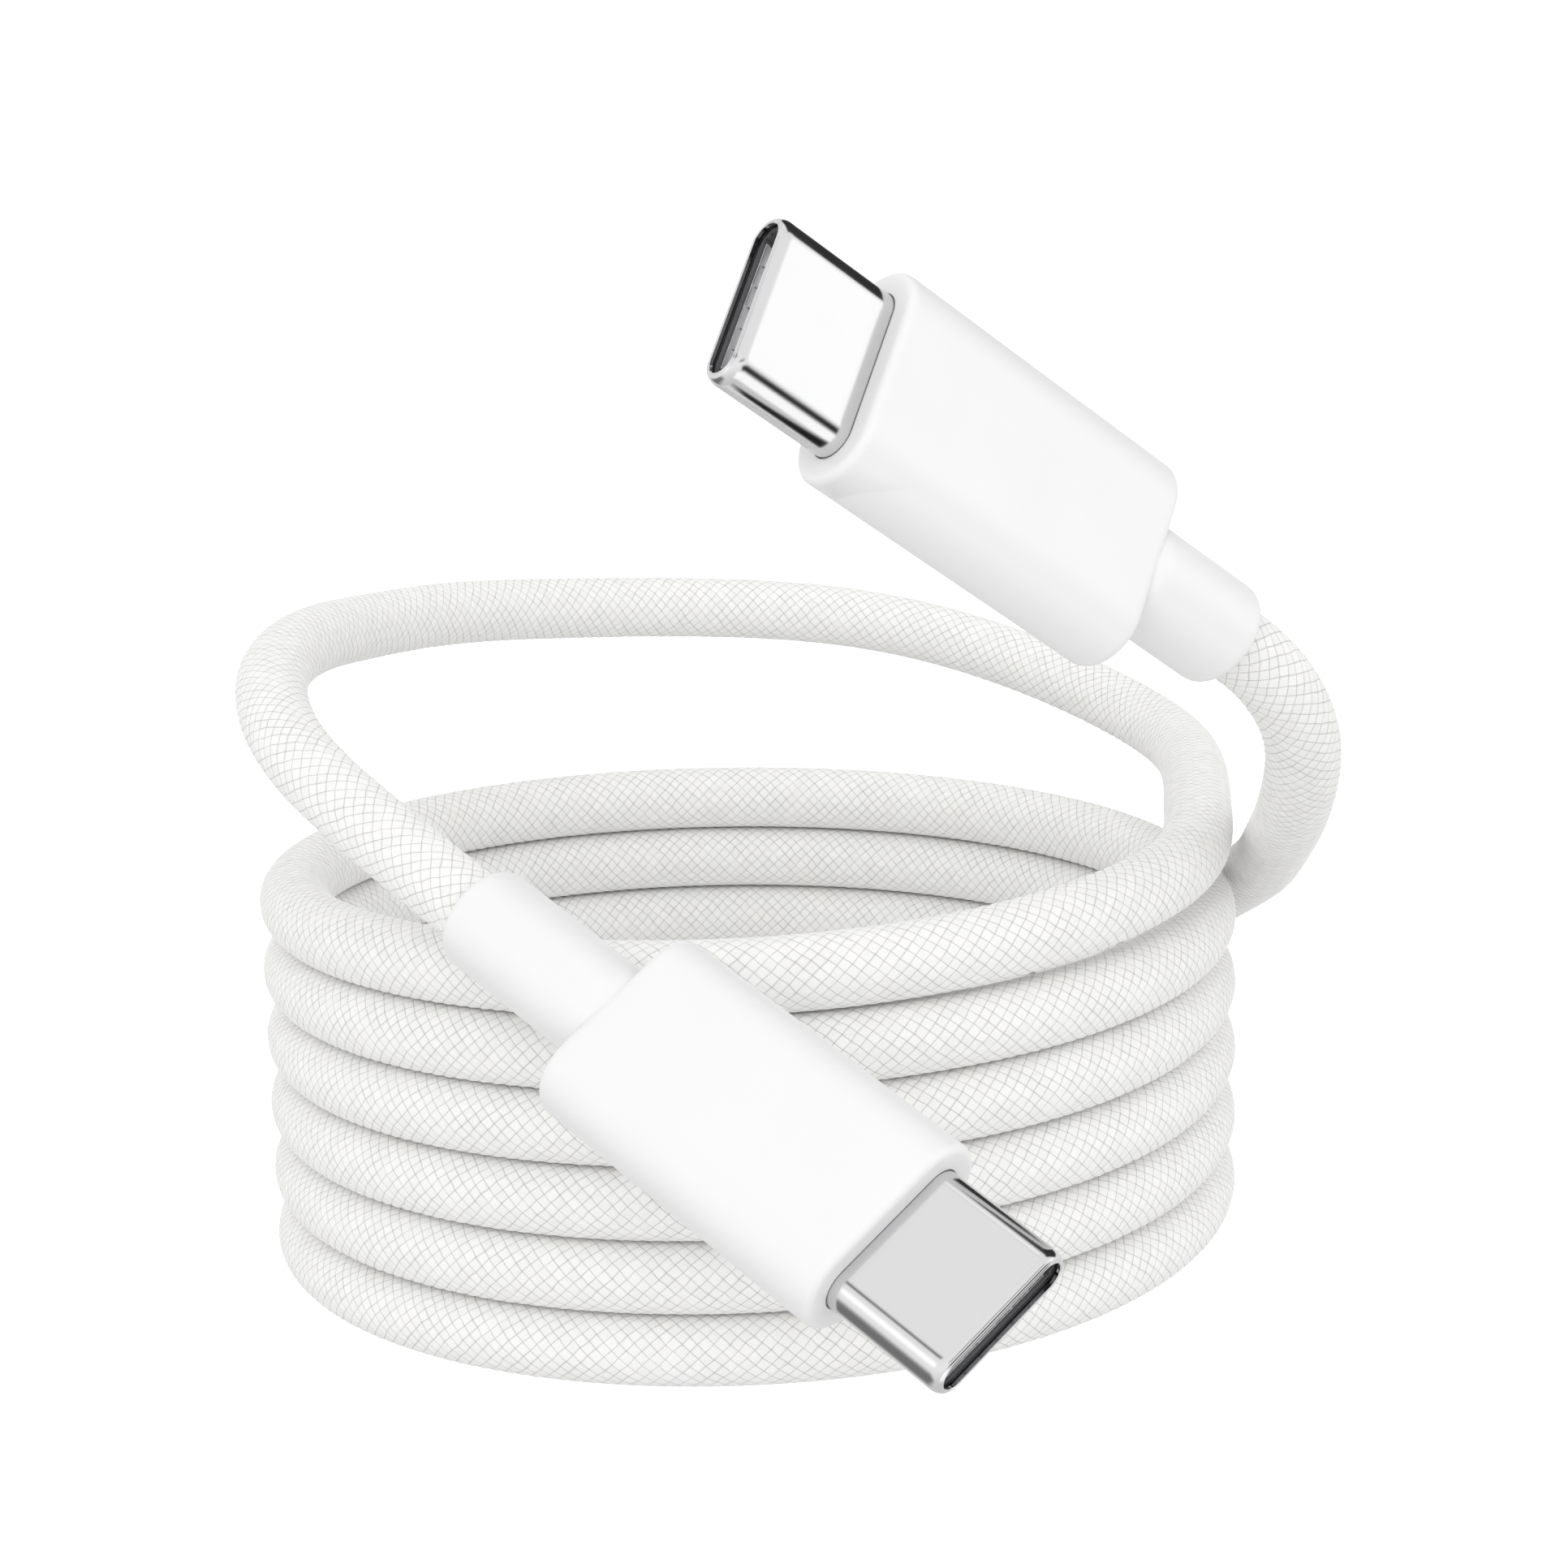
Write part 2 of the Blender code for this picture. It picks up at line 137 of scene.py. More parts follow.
plugs = {"a": plugFrame("a"), "b": plugFrame("b")}
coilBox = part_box("cable_coil")
coilCentre = ((coilBox[0][0] + coilBox[1][0]) / 2.0 / mm, (coilBox[0][1] + coilBox[1][1]) / 2.0 / mm)


# ---- camera ----

camera = {"focal": 76.02, "distance": 185.5, "elevation": 11.93, "roll": -1.41, "aim": (0.13, 8.23, 27.08)}


def makeCamera():
    tilt = math.radians(camera["elevation"])
    forward = Vector((0.0, math.cos(tilt), -math.sin(tilt)))
    right = Vector((1.0, 0.0, 0.0))
    up = right.cross(forward)
    roll = math.radians(camera["roll"])
    rightTurned = right * math.cos(roll) + up * math.sin(roll)
    upTurned = up * math.cos(roll) - right * math.sin(roll)
    data = bpy.data.cameras.new("camera")
    data.lens = camera["focal"]
    data.sensor_width = 36.0
    data.clip_start = 0.01
    data.clip_end = 20.0
    thing = bpy.data.objects.new("camera", data)
    turn = Matrix((rightTurned, upTurned, -forward)).transposed().to_4x4()
    thing.matrix_world = Matrix.Translation((Vector(camera["aim"]) - forward * camera["distance"]) * mm) @ turn
    bpy.context.scene.collection.objects.link(thing)
    bpy.context.scene.camera = thing


makeCamera()
print("camera placed")


# ---- the cord ----

cord = {
    "diameter": 3.8,
    "coilRadius": 25.33, "pitch": 3.83, "lowest": 1.8,   # lowest: where the helix would reach the floor
    "topAngle": 90.0, "stepAngle": 20.0,   # degrees round from the front
    "steps": 100,         # points down the coil
    "turnsToFront": 5.5,  # turns between the bottom and the front of the top one
    "topLift": 1.3,       # how far the last quarter turn lifts off the one below
    "carriers": 16,       # yarn bundles each way round
    "cellLength": 0.75,   # one diamond along the cord
    "relief": 0.04,       # bundle height over its edges
    "wander": 0.04,       # how far each crossing strays from its place
    "seed": 12,
}

# points the leads pass through, from the coil outwards
leadA = [
    (26.3, 11.5, 25.5), (24.9, 20.5, 26.1), (18.2, 28.3, 28.5),
    (9.0, 31.2, 31.0), (-1.0, 30.8, 32.3), (-10.5, 26.0, 33.3), (-17.8, 18.0, 34.4),
    (-22.2, 9.0, 35.1), (-24.4, 0.0, 35.6), (-24.9, -8.5, 34.8), (-22.6, -15.8, 32.5),
    (-18.2, -21.0, 29.7),
]
leadB = [
    (-23.7, 9.6, 2.5), (-21.0, 16.4, 2.3), (-17.0, 22.5, 2.1),
    (-11.0, 27.3, 1.98), (-2.0, 29.5, 2.7), (8.0, 28.5, 5.0), (16.5, 24.6, 8.6),
    (23.4, 18.2, 12.8), (28.0, 9.6, 18.0), (29.3, 2.5, 21.2), (29.2, -4.0, 24.0),
    (28.8, -10.7, 26.8), (28.4, -16.6, 29.9), (27.7, -21.0, 33.6),
]


def inCollar(end, x):
    point = plugs[end] @ Vector((x, 0.0, 0.0))
    return [c / mm for c in point]


def coilPoints():
    # the close turns, from the top of the coil down to where the bottom turn begins
    radius, pitch = cord["coilRadius"], cord["pitch"]
    points = []
    for step in range(cord["steps"]):
        angle = cord["topAngle"] - cord["stepAngle"] * step
        z = (cord["turnsToFront"] + angle / 360.0) * pitch + cord["lowest"]
        if angle > 0.0:
            z += cord["topLift"] * (angle / cord["topAngle"]) ** 1.5
        a = math.radians(angle)
        points.append((radius * math.sin(a) + coilCentre[0], -radius * math.cos(a) + coilCentre[1], z))
    return points


def cordKnots():
    shift = np.array([coilCentre[0], coilCentre[1], 0.0])
    rearA, rearB = (plug["collarFront"] - plug["collarLength"][end] for end in "ab")
    points = [inCollar("a", x) for x in (plug["cordEnd"], -18.5, -22.0, rearA + 1.5, rearA - 2.5)]
    points += [np.array(p) + shift for p in reversed(leadA)]
    points += coilPoints()
    points += [np.array(p) + shift for p in leadB]
    points += [inCollar("b", x) for x in (rearB - 2.5, rearB + 1.5, -20.8, -18.5, plug["cordEnd"])]
    return np.array([list(p) for p in points], float)


def smoothThrough(knots, fine):
    # a curve with even curvature through the knots, then points at an even spacing along it
    gaps = np.linalg.norm(np.diff(knots, axis=0), axis=1)
    t = np.concatenate([[0.0], np.cumsum(gaps)])
    n = len(knots)
    matrix = np.zeros((n, n))
    right = np.zeros((n, 3))
    matrix[0, 0] = matrix[-1, -1] = 1.0
    for i in range(1, n - 1):
        matrix[i, i - 1] = gaps[i - 1]
        matrix[i, i] = 2.0 * (gaps[i - 1] + gaps[i])
        matrix[i, i + 1] = gaps[i]
        right[i] = 6.0 * ((knots[i + 1] - knots[i]) / gaps[i] - (knots[i] - knots[i - 1]) / gaps[i - 1])
    bend = np.linalg.solve(matrix, right)
    s = np.linspace(0.0, t[-1], 24000)
    k = np.clip(np.searchsorted(t, s, side="right") - 1, 0, n - 2)
    h = gaps[k][:, None]
    a = (t[k + 1] - s)[:, None] / h
    b = 1.0 - a
    dense = (a * knots[k] + b * knots[k + 1]
             + ((a ** 3 - a) * bend[k] + (b ** 3 - b) * bend[k + 1]) * h * h / 6.0)
    length = np.concatenate([[0.0], np.cumsum(np.linalg.norm(np.diff(dense, axis=0), axis=1))])
    count = int(round(length[-1] / fine))
    even = np.linspace(0.0, length[-1], count + 1)
    return np.stack([np.interp(even, length, dense[:, i]) for i in range(3)], -1), length[-1]


def carriedFrames(line):
    # a side direction for each point, carried along without twist
    along = np.gradient(line, axis=0)
    along /= np.linalg.norm(along, axis=1)[:, None]
    side = np.zeros_like(line)
    first = np.cross(along[0], [0.0, 0.0, 1.0])
    side[0] = first / np.linalg.norm(first)
    for i in range(1, len(line)):
        v = side[i - 1] - along[i] * np.dot(side[i - 1], along[i])
        side[i] = v / np.linalg.norm(v)
    return side, np.cross(along, side)


def braidedTube(name, line, material):
    # rings of high and low points in turn: each low-low diagonal is an edge between two yarn bundles
    around = cord["carriers"] * 2
    rings = len(line)
    side, other = carriedFrames(line)
    angle = 2.0 * math.pi * np.arange(around) / around
    high = (np.arange(rings)[:, None] + np.arange(around)[None, :]) % 2
    stray = np.random.default_rng(cord["seed"]).uniform(-1.0, 1.0, (3, rings, around))
    radius = cord["diameter"] / 2.0 + cord["relief"] * (high - 0.5 + 0.2 * stray[0] * high)
    along = np.gradient(line, axis=0)
    along /= np.linalg.norm(along, axis=1)[:, None]
    turn = angle[None, :] + cord["wander"] * stray[1] / radius
    out = side[:, None, :] * np.cos(turn)[:, :, None] + other[:, None, :] * np.sin(turn)[:, :, None]
    slip = along[:, None, :] * (cord["wander"] * stray[2])[:, :, None]
    body = (line[:, None, :] + out * radius[:, :, None] + slip).reshape(-1, 3) * mm
    vertices = np.concatenate([body, line[:1] * mm, line[-1:] * mm])
    i, j = np.meshgrid(np.arange(rings - 1), np.arange(around), indexing="ij")
    i, j = i.ravel(), j.ravel()
    after = (j + 1) % around
    p00, p01 = i * around + j, i * around + after
    p10, p11 = (i + 1) * around + j, (i + 1) * around + after
    u0, u1, v0, v1 = j / 2.0, (j + 1) / 2.0, i / 2.0, (i + 1) / 2.0
    even = (i + j) % 2 == 0
    first = np.where(even[:, None], np.stack([p00, p01, p11], -1), np.stack([p00, p01, p10], -1))
    second = np.where(even[:, None], np.stack([p00, p11, p10], -1), np.stack([p01, p11, p10], -1))
    uFirst = np.where(even[:, None], np.stack([u0, u1, u1], -1), np.stack([u0, u1, u0], -1))
    vFirst = np.where(even[:, None], np.stack([v0, v0, v1], -1), np.stack([v0, v0, v1], -1))
    uSecond = np.where(even[:, None], np.stack([u0, u1, u0], -1), np.stack([u1, u1, u0], -1))
    vSecond = np.where(even[:, None], np.stack([v0, v1, v1], -1), np.stack([v0, v1, v1], -1))
    step = np.arange(around)
    startCap = np.stack([np.full(around, rings * around), (step + 1) % around, step], -1)
    lastRing = (rings - 1) * around
    endCap = np.stack([np.full(around, rings * around + 1), lastRing + step,
                       lastRing + (step + 1) % around], -1)
    triangles = np.concatenate([first, second, startCap, endCap])
    mesh = bpy.data.meshes.new(name)
    mesh.from_pydata(vertices.tolist(), [], triangles.tolist())
    mesh.materials.append(material)
    mesh.shade_smooth()
    uv = mesh.uv_layers.new(name="weave")
    capUv = np.zeros((2 * around, 3))
    values = np.stack([np.concatenate([uFirst, uSecond, capUv]).ravel(),
                       np.concatenate([vFirst, vSecond, capUv]).ravel()], -1)
    uv.data.foreach_set("uv", values.ravel().astype(np.float32))
    low = np.concatenate([(1 - high).ravel(), [0, 0]]).astype(bool)
    ends = np.empty(len(mesh.edges) * 2, dtype=np.int32)
    mesh.edges.foreach_get("vertices", ends)
    ends = ends.reshape(-1, 2)
    sharp = mesh.attributes.new("sharp_edge", "BOOLEAN", "EDGE")
    sharp.data.foreach_set("value", low[ends[:, 0]] & low[ends[:, 1]])
    thing = bpy.data.objects.new(name, mesh)
    bpy.context.scene.collection.objects.link(thing)
    return thing


def wovenPolyester():
    # braided polyester yarn, bleached: matt, with fine creases where bundles cross over and under
    material, tree, shader = newMaterial("wovenPolyester", "#f5f5f4", 0.0, 0.82, 1.5)

    uv = addNode(tree, "ShaderNodeUVMap", uv_map="weave")
    parts = addNode(tree, "ShaderNodeSeparateXYZ", {0: uv.outputs["UV"]})
    place = addNode(tree, "ShaderNodeTexCoord")
    u, v = parts.outputs["X"], parts.outputs["Y"]
    # the two ways round, one unit to a bundle; 4096 keeps the second one positive
    one = addNode(tree, "ShaderNodeMath", {0: u, 1: v}, operation="ADD").outputs[0]
    lean = addNode(tree, "ShaderNodeMath", {0: u, 1: v}, operation="SUBTRACT").outputs[0]
    two = addNode(tree, "ShaderNodeMath", {0: lean, 1: 4096.0}, operation="ADD").outputs[0]
    cellOne, cellTwo = (addNode(tree, "ShaderNodeMath", {0: w}, operation="FLOOR").outputs[0] for w in (one,
                                                                                                        two))
    acrossOne, acrossTwo = (addNode(tree, "ShaderNodeMath", {0: w}, operation="FRACT").outputs[0]
                            for w in (one, two))
    both = addNode(tree, "ShaderNodeMath", {0: cellOne, 1: cellTwo}, operation="ADD").outputs[0]
    over = addNode(tree, "ShaderNodeMath", {0: both, 1: 2.0}, operation="MODULO").outputs[0]
    edgeOne, edgeTwo = (addNode(tree, "ShaderNodeMath", {0: w, 1: 0.5}, operation="PINGPONG").outputs[0]
                        for w in (acrossOne, acrossTwo))
    # the bundle on top shows its long edges; the one beneath dives under at its ends
    side = addNode(tree, "ShaderNodeMix", {0: over, 2: edgeOne, 3: edgeTwo}).outputs[0]
    ends = addNode(tree, "ShaderNodeMix", {0: over, 2: edgeTwo, 3: edgeOne}).outputs[0]
    loose = addNode(tree, "ShaderNodeTexNoise",
                    {"Vector": place.outputs["Object"], "Scale": 900.0, "Detail": 1.0})
    width = addNode(tree, "ShaderNodeMapRange",
                    {0: loose.outputs[0], 1: 0.3, 2: 0.7, 3: 0.05, 4: 0.13}).outputs[0]
    sideRise, endRise = (addNode(tree, "ShaderNodeMapRange", {0: w, 2: width},
                                 interpolation_type="SMOOTHSTEP").outputs[0] for w in (side, ends))
    rise = addNode(tree, "ShaderNodeMath", {0: sideRise, 1: endRise}, operation="MULTIPLY").outputs[0]
    # single yarns, five to a bundle; the colour darkens in the grooves between them as painted shade
    across = addNode(tree, "ShaderNodeMix", {0: over, 2: acrossOne, 3: acrossTwo}).outputs[0]
    phase = addNode(tree, "ShaderNodeMath", {0: across, 1: 10.0 * math.pi}, operation="MULTIPLY").outputs[0]
    wave = addNode(tree, "ShaderNodeMath", {0: phase}, operation="COSINE").outputs[0]
    yarn = addNode(tree, "ShaderNodeMapRange", {0: wave, 1: -1.0, 2: 1.0, 3: 1.0, 4: 0.0}).outputs[0]
    fuzz = addNode(tree, "ShaderNodeTexNoise",
                   {"Vector": place.outputs["Object"], "Scale": 9000.0, "Detail": 2.0})
    patch = addNode(tree, "ShaderNodeTexNoise",
                    {"Vector": place.outputs["Object"], "Scale": 420.0, "Detail": 1.0})
    cell = addNode(tree, "ShaderNodeCombineXYZ", {0: cellOne, 1: cellTwo})
    lot = addNode(tree, "ShaderNodeTexWhiteNoise", {"Vector": cell.outputs[0]},
                  noise_dimensions="3D").outputs[0]
    # colour: near-white yarn, painted shade along the creases between bundles and in the grooves between yarns,
    # faint warm patches, no two bundles quite alike
    warm = addNode(tree, "ShaderNodeMix", {0: patch.outputs[0], 6: (*hexLinear("#f8f8f9"), 1.0),
                                           7: (*hexLinear("#f8f7f3"), 1.0)}, data_type="RGBA").outputs[2]
    shades = (
        # painted shade: the first row darkens the creases along each bundle's long sides, the second, less so,
        # those at its ends, the third the grooves between yarns
        (sideRise, 0.0, 1.0, 0.68), (endRise, 0.0, 1.0, 0.78), (yarn, 0.0, 1.0, 0.97),
        (fuzz.outputs[0], 0.3, 0.7, 0.96), (lot, 0.0, 1.0, 0.955),
    )   # what darkens the yarn, from where, to where, and how dark its darkest is
    shade = 1.0
    for value, low, high, darkest in shades:
        part = addNode(tree, "ShaderNodeMapRange", {0: value, 1: low, 2: high, 3: darkest, 4: 1.0}).outputs[0]
        shade = addNode(tree, "ShaderNodeMath", {0: shade, 1: part}, operation="MULTIPLY").outputs[0]
    colour = addNode(tree, "ShaderNodeVectorMath", {0: warm, "Scale": shade}, operation="SCALE").outputs[0]
    tree.links.new(colour, shader.inputs["Base Color"])
    # height in metres: bundle crown, then yarns, then loose fibre
    height = 0.0
    for value, deep in ((rise, 0.00002), (yarn, 0.000008), (fuzz.outputs[0], 0.000008)):
        height = addNode(tree, "ShaderNodeMath", {0: value, 1: deep, 2: height},
                         operation="MULTIPLY_ADD").outputs[0]
    bump = addNode(tree, "ShaderNodeBump", {"Height": height, "Distance": 1.0, "Strength": 0.7})
    tree.links.new(bump.outputs[0], shader.inputs["Normal"])
    shader.inputs["Specular IOR Level"].default_value = 0.25
    shader.inputs["Sheen Weight"].default_value = 0.15
    shader.inputs["Sheen Roughness"].default_value = 0.5
    return material


def makeCord():
    line, length = smoothThrough(cordKnots(), cord["cellLength"] / 2.0)
    piece = braidedTube("cordBraid", line, wovenPolyester())
    finishPiece(piece, "cable", "braided_cord", "cable_coil", "cable_lead_a", "cable_lead_b")
    leaving = plugs["a"] @ Vector((plug["collarFront"] - plug["collarLength"]["a"], 0.0, 0.0))
    print("cord length", round(length, 1), "mm,", len(piece.data.polygons), "triangles")
    return piece, leaving, length * mm, [tuple(p * mm) for p in line]


cordPiece, cordExit, cordLength, cordPath = makeCord()
print("cord made")


# ---- plug housings ----

def slotOutline(width, thick, arc=16):
    # flat sides with support points near the curved ends, so shading stays even
    radius = thick / 2.0
    reach = width / 2.0 - radius
    points = []
    for direction in (1.0, -1.0):
        for k in range(arc + 1):
            angle = -math.pi / 2.0 + math.pi * k / arc
            points.append((direction * (reach + radius * math.cos(angle)),
                           direction * radius * math.sin(angle)))
        for part in (0.02, 0.2, 0.4, 0.6, 0.8, 0.98):
            points.append((direction * reach * (1.0 - 2.0 * part), direction * radius))
    return points


def loft(name, rings, place, material):
    # rings of equal count joined in order, and the last to the first, as for a hollow piece
    count = len(rings[0])
    vertices = [place @ Vector(p) for ring in rings for p in ring]
    faces = []
    for r in range(len(rings)):
        a, b = r * count, ((r + 1) % len(rings)) * count
        for k in range(count):
            n = (k + 1) % count
            faces.append((a + k, a + n, b + n, b + k))
    thing = meshObject(name, vertices, faces, material)
    turnOut(thing.data)
    thing.data.shade_smooth()
    thing.data.set_sharp_from_angle(angle=math.radians(38.0))
    return thing


def turnOut(mesh):
    # faces point outwards: the signed volume of a closed skin is positive
    volume = 0.0
    for face in mesh.polygons:
        corners = [mesh.vertices[i].co for i in face.vertices]
        for i in range(1, len(corners) - 1):
            volume += corners[0].dot(corners[i].cross(corners[i + 1]))
    if volume < 0.0:
        mesh.flip_normals()


def roundedRings(x0, x1, inset, steps, ringAt):
    # a quarter-round edge from the side of a piece onto its end face
    rings = []
    for k in range(steps + 1):
        angle = math.pi / 2.0 * k / steps
        rings.append(ringAt(x0 + (x1 - x0) * math.sin(angle), inset * (1.0 - math.cos(angle))))
    return rings


def mouldedElastomer():
    # white thermoplastic elastomer, injection moulded: soft satin gloss with a very fine eroded-tool grain
    material, tree, shader = newMaterial("mouldedElastomer", "#ececec", 0.0, 0.36, 1.49)
    place = addNode(tree, "ShaderNodeTexCoord")
    grain = addNode(tree, "ShaderNodeTexNoise",
                    {"Vector": place.outputs["Object"], "Scale": 12000.0, "Detail": 2.0})
    broad = addNode(tree, "ShaderNodeTexNoise",
                    {"Vector": place.outputs["Object"], "Scale": 300.0, "Detail": 1.0})
    height = addNode(tree, "ShaderNodeMath", {0: grain.outputs[0], 1: 0.000002},
                     operation="MULTIPLY").outputs[0]
    bump = addNode(tree, "ShaderNodeBump", {"Height": height, "Distance": 1.0, "Strength": 0.5})
    tree.links.new(bump.outputs[0], shader.inputs["Normal"])
    rough = addNode(tree, "ShaderNodeMapRange",
                    {0: broad.outputs[0], 1: 0.3, 2: 0.7, 3: 0.33, 4: 0.40}).outputs[0]
    tree.links.new(rough, shader.inputs["Roughness"])
    tint = addNode(tree, "ShaderNodeMix", {0: broad.outputs[0], 6: (*hexLinear("#ededed"), 1.0),
                                           7: (*hexLinear("#ebebeb"), 1.0)}, data_type="RGBA").outputs[2]
    tree.links.new(tint, shader.inputs["Base Color"])
    return material


def polishedSteel():
    # deep-drawn stainless steel, polished: mirror-like, slightly hazed
    material, tree, shader = newMaterial("polishedSteel", "#dcdcdd", 1.0, 0.14)
    place = addNode(tree, "ShaderNodeTexCoord")
    haze = addNode(tree, "ShaderNodeTexNoise",
                   {"Vector": place.outputs["Object"], "Scale": 500.0, "Detail": 1.0})
    rough = addNode(tree, "ShaderNodeMapRange",
                    {0: haze.outputs[0], 1: 0.3, 2: 0.7, 3: 0.13, 4: 0.16}).outputs[0]
    tree.links.new(rough, shader.inputs["Roughness"])
    fine = addNode(tree, "ShaderNodeTexNoise",
                   {"Vector": place.outputs["Object"], "Scale": 9000.0, "Detail": 1.0})
    height = addNode(tree, "ShaderNodeMath", {0: fine.outputs[0], 1: 0.0000001},
                     operation="MULTIPLY").outputs[0]
    bump = addNode(tree, "ShaderNodeBump", {"Height": height, "Distance": 1.0, "Strength": 0.3})
    tree.links.new(bump.outputs[0], shader.inputs["Normal"])
    return material


elastomer = mouldedElastomer()
steel = polishedSteel()


def makeBoot(end, place):
    width, thick, rear = plug["bootWidth"], plug["bootThick"], -plug["bootLength"]
    holeWidth, holeThick = plug["shellWidth"] + plug["shellGap"], plug["shellThick"] + plug["shellGap"]
    throat, cavityRear, rearHole = plug["throat"], plug["cavityRear"], plug["rearHole"]
    cavity = (plug["cavityWidth"], plug["cavityThick"])

    def outer(x, inset):
        return [(x, y, z) for y, z in slotOutline(width - 2.0 * inset, thick - 2.0 * inset)]

    def hole(x, w, t):
        return [(x, y, z) for y, z in slotOutline(w, t)]

    edge, lip = plug["bootRearEdge"], plug["bootFrontEdge"]
    rings = [outer(rear, edge + 0.25), outer(rear, edge + 0.04)]
    rings += list(reversed(roundedRings(rear + edge, rear, edge, 8, outer)))
    rings += [outer(rear + edge + 0.1, 0.0), outer(rear + 5.0, 0.0), outer(-9.0, 0.0), outer(-4.0, 0.0)]
    rings += [outer(-lip - 0.06, 0.0)] + roundedRings(-lip, 0.0, lip, 8, outer)
    rings += [outer(0.0, lip + 0.04), hole(0.0, holeWidth + 0.2, holeThick + 0.2)]
    rings += [hole(-0.02, holeWidth + 0.04, holeThick + 0.04), hole(-0.06, holeWidth, holeThick)]
    rings += [hole(throat, holeWidth, holeThick), hole(throat, *cavity), hole(cavityRear, *cavity)]
    rings += [hole(x, rearHole + 0.01, rearHole) for x in (cavityRear, rear)]
    piece = loft("bootSkin_" + end, rings, place, elastomer)
    return finishPiece(piece, "cable", "white_moulding", "boot_" + end)


def makeCollar(end, place):
    # a round sleeve whose front narrows to run into the housing's rounded end
    radius, bore, front = plug["collarDiameter"] / 2.0, plug["collarBore"] / 2.0, plug["collarFront"]
    rear = front - plug["collarLength"][end]
    edge = radius - bore - 0.25
    profile = [(rear + 0.9, bore, bore), (rear + 0.25, bore + 0.02, bore + 0.02)]
    profile += [(rear + 0.08, bore + 0.1, bore + 0.1), (rear, bore + 0.22, bore + 0.22)]
    for k in range(1, 9):
        angle = math.pi / 2.0 * k / 8.0
        r = radius - edge * (1.0 - math.sin(angle))
        profile.append((rear + 0.5 * (1.0 - math.cos(angle)), r, r))
    profile += [(x, radius, radius) for x in (rear + 0.7, rear + 3.0, front - 1.0, front - 0.45)]
    profile += [(front - 0.15, radius, radius - 0.03), (front + 0.15, radius, radius - 0.2),
                (front + 0.45, radius - 0.05, radius - 0.5), (front + 0.45, bore, bore), (front - 2.0, bore,
                                                                                          bore)]
    rings = []
    for x, wide, high in profile:
        rings.append([(x, wide * math.cos(2.0 * math.pi * k / 64), high * math.sin(2.0 * math.pi * k / 64))
                      for k in range(64)])
    piece = loft("collarSkin_" + end, rings, place, elastomer)
    return finishPiece(piece, "cable", "white_moulding", "collar_" + end)


def makeShell(end, place):
    # drawn tube with its nose turned in to a narrow rim
    width, thick, wall = plug["shellWidth"], plug["shellThick"], plug["shellWall"]
    nose, tail, turned, inset = plug["shellNose"], plug["shellTail"], plug["noseRound"], plug["noseInset"]

    def outer(x, inset):
        return [(x, y, z) for y, z in slotOutline(width - 2.0 * inset, thick - 2.0 * inset, 24)]

    rings = [outer(tail, 0.0), outer(-0.1, 0.0), outer(0.1, 0.0), outer(2.0, 0.0), outer(4.5, 0.0)]
    rings += [outer(nose - turned - 0.06, 0.0)]
    rings += roundedRings(nose - turned, nose - 0.03, inset, 12, outer)
    rings += [outer(nose, inset + 0.03), outer(nose, inset + 0.09), outer(nose - 0.03, inset + 0.12)]
    rings += [outer(nose - 0.2, inset + 0.1), outer(nose - 0.4, wall), outer(3.0, wall), outer(tail, wall)]
    piece = loft("shellSkin_" + end, rings, place, steel)
    return finishPiece(piece, "cable", "shell_steel", "shell_" + end)


for end, place in plugs.items():
    makeBoot(end, place)
    makeCollar(end, place)
    makeShell(end, place)
print("plugs made")


# ---- finishes for the small pieces that show at the mouth ----

def plainFinish(name, colour, metallic, roughness, grain, depth):
    # a colour with a fine surface grain, for small pieces
    material, tree, shader = newMaterial(name, colour, metallic, roughness)
    place = addNode(tree, "ShaderNodeTexCoord")
    noise = addNode(tree, "ShaderNodeTexNoise",
                    {"Vector": place.outputs["Object"], "Scale": grain, "Detail": 2.0})
    height = addNode(tree, "ShaderNodeMath", {0: noise.outputs[0], 1: depth}, operation="MULTIPLY").outputs[0]
    bump = addNode(tree, "ShaderNodeBump", {"Height": height, "Distance": 1.0, "Strength": 0.5})
    tree.links.new(bump.outputs[0], shader.inputs["Normal"])
    return material


finishes = {
    # moulded nylon: dull dark grey
    "insulator": plainFinish("glassFilledNylon", "#6a6a6c", 0.0, 0.45, 9000.0, 0.000003),
    # bare spring steel: bright, a little soft
    "latch": plainFinish("springSteel", "#b9b9ba", 1.0, 0.25, 6000.0, 0.000001),
    # printed circuit mask: green satin
    "paddle_card": plainFinish("solderMask", "#14502a", 0.0, 0.35, 5000.0, 0.000002),
    # moulded epoxy: near-black, dull
    "emarker_chip": plainFinish("moldedEpoxy", "#202022", 0.0, 0.5, 9000.0, 0.000003),
    # tinned steel: pale grey metal, cloudy
    "shield_can": plainFinish("tinnedSteel", "#b8b6b0", 1.0, 0.38, 3000.0, 0.000002),
    # tinned brass: pale grey metal, cloudy
    "crimp_ferrule": plainFinish("tinnedBrass", "#b5b3ac", 1.0, 0.4, 3000.0, 0.000002),
    # extruded insulation on the cores: smooth and plain
    "wire_vbus": plainFinish("redInsulation", "#b01717", 0.0, 0.4, 5000.0, 0.000002),
    "wire_gnd": plainFinish("blackInsulation", "#161616", 0.0, 0.4, 5000.0, 0.000002),
    "wire_cc": plainFinish("whiteInsulation", "#e8e8e4", 0.0, 0.4, 5000.0, 0.000002),
}
for nodeName in frame["nodes"]:
    for start, material in finishes.items():
        if nodeName.startswith(start):
            nodeMaterial(nodeName, material)


# ---- sprung rows inside the mouth ----

